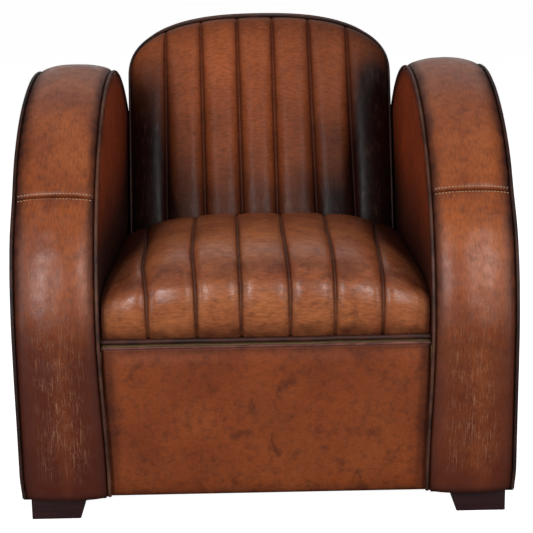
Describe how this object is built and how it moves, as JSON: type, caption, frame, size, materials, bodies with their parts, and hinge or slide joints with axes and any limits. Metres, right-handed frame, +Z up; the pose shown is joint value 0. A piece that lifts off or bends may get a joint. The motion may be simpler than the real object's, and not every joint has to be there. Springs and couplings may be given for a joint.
{
  "type": "club chair",
  "caption": "Low leather armchair with thick arched arms, a channel-stitched seat and leaning back, and short block feet, worn with use.",
  "frame": {"origin": "on the floor, under the middle of the chair's bounding box", "axes": "+Z up, the front faces -Y, +X to the right of a person who faces the chair"},
  "size_m": [0.854, 0.879, 0.8298],
  "materials": {
    "hide": "worn tan-brown hide, semi-gloss where rubbed",
    "welt": "dark piping leather, rubbed pale on its crest",
    "plywood": "raw birch ply",
    "hardwood": "raw beech",
    "stained_wood": "espresso stain, satin",
    "foam": "open-cell cushion foam",
    "sackcloth": "woven hessian",
    "black_cloth": "thin non-woven cloth",
    "spring_steel": "bare spring wire"
  },
  "bodies": {
    "root": {"left_arm_front_band": "hide", "left_arm_top_band": "hide", "left_arm_rear_band": "hide", "left_arm_outer_cover": "hide", "left_arm_inner_cover": "hide", "left_arm_outer_welt": "welt", "left_arm_inner_welt": "welt", "left_arm_foam_wrap": "foam", "left_arm_bent_strip": "plywood", "left_arm_outer_board": "plywood", "left_arm_inner_board": "plywood", "left_arm_base_rail": "hardwood", "left_arm_front_post": "hardwood", "left_arm_rear_post": "hardwood", "right_arm_front_band": "hide", "right_arm_top_band": "hide", "right_arm_rear_band": "hide", "right_arm_outer_cover": "hide", "right_arm_inner_cover": "hide", "right_arm_outer_welt": "welt", "right_arm_inner_welt": "welt", "right_arm_foam_wrap": "foam", "right_arm_bent_strip": "plywood", "right_arm_outer_board": "plywood", "right_arm_inner_board": "plywood", "right_arm_base_rail": "hardwood", "right_arm_front_post": "hardwood", "right_arm_rear_post": "hardwood", "front_left_foot": "stained_wood", "front_right_foot": "stained_wood", "rear_left_foot": "stained_wood", "rear_right_foot": "stained_wood", "dust_cover": "black_cloth", "front_board": "plywood", "front_panel_cover": "hide", "front_panel_welt": "welt", "rear_lower_rail": "plywood", "seat_rear_rail": "hardwood", "front_left_corner_block": "hardwood", "front_right_corner_block": "hardwood", "rear_left_corner_block": "hardwood", "rear_right_corner_block": "hardwood", "seat_spring_1": "spring_steel", "seat_spring_2": "spring_steel", "seat_spring_3": "spring_steel", "seat_spring_4": "spring_steel", "seat_platform": "sackcloth", "seat_foam": "foam", "seat_cover": "hide", "seat_welt": "welt", "back_left_stile": "hardwood", "back_right_stile": "hardwood", "back_crest_rail": "hardwood", "back_lower_rail": "hardwood", "back_hessian": "sackcloth", "back_foam": "foam", "back_cover": "hide", "back_welt": "welt", "back_boxing": "hide", "outer_back_cover": "hide"}
  },
  "joints": []
}
